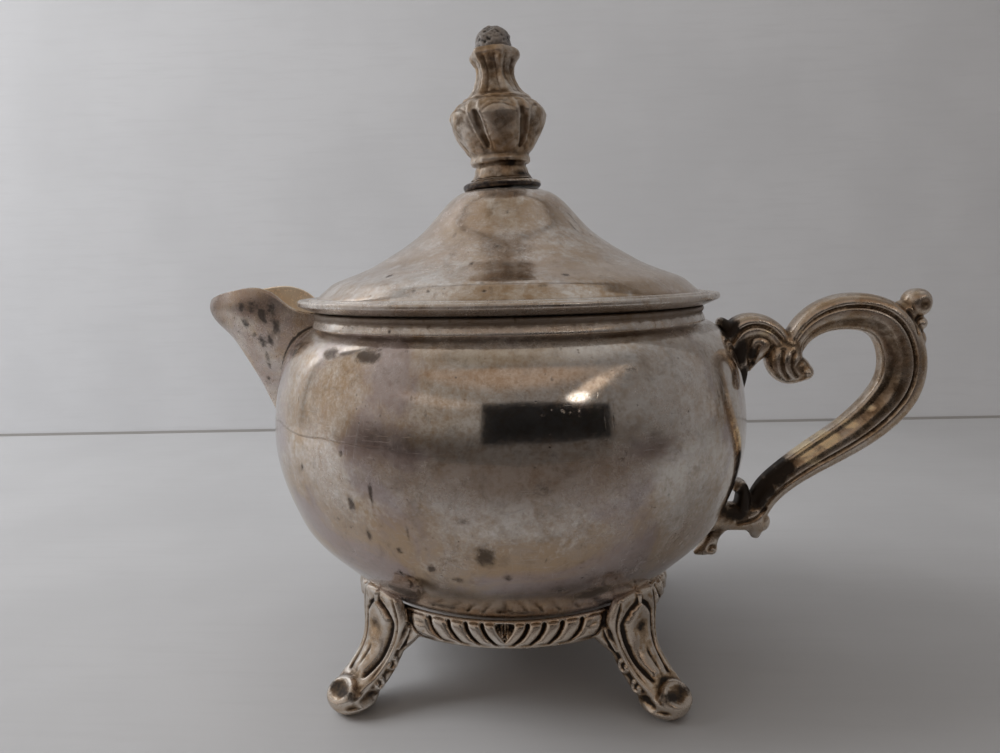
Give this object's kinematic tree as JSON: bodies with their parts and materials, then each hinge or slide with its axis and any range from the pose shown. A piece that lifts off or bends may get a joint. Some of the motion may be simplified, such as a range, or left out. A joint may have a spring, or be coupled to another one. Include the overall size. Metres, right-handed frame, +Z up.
{
  "type": "covered silver sugar and cream pot",
  "caption": "Round silver-plated pot on four scroll feet, with a pouring lip, a scroll handle and a lift-off domed lid that has an urn finial.",
  "frame": {"origin": "middle of the footprint's bounding box, on the surface that the foot pads stand on; the bowl's own axis stands 12.3 mm from it towards -X", "axes": "+X towards the handle, -X towards the spout, +Y across, +Z up"},
  "size_m": [0.1706, 0.1092, 0.1467],
  "materials": {
    "silver_plate": "worn silver plate, polished once, now warm and hazy with tarnish spots and fine scratches",
    "cast_silver": "silver-plated casting, bright on its ridges and dark with oxide in its hollows",
    "dark_tip": "rough, dark and pitted",
    "brass_fittings": "plain machined brass, dulled"
  },
  "bodies": {
    "pot": {"bowl_body": "silver_plate", "bowl_rim_wire": "silver_plate", "spout": "silver_plate", "handle": "cast_silver", "foot_front_left": "cast_silver", "foot_front_right": "cast_silver", "foot_back_left": "cast_silver", "foot_back_right": "cast_silver"},
    "lid": {"lid_dome": "silver_plate", "lid_edge": "silver_plate", "lid_bezel": "silver_plate", "finial_base_plate": "cast_silver", "finial_urn": "cast_silver", "finial_tip": "dark_tip", "finial_stud": "brass_fittings", "finial_washer": "brass_fittings", "finial_nut": "brass_fittings"}
  },
  "joints": [
    {"name": "lid_lift", "type": "slide", "parent": "pot", "child": "lid", "axis": [0, 0, 1], "range_m": [0, 0.06]}
  ]
}
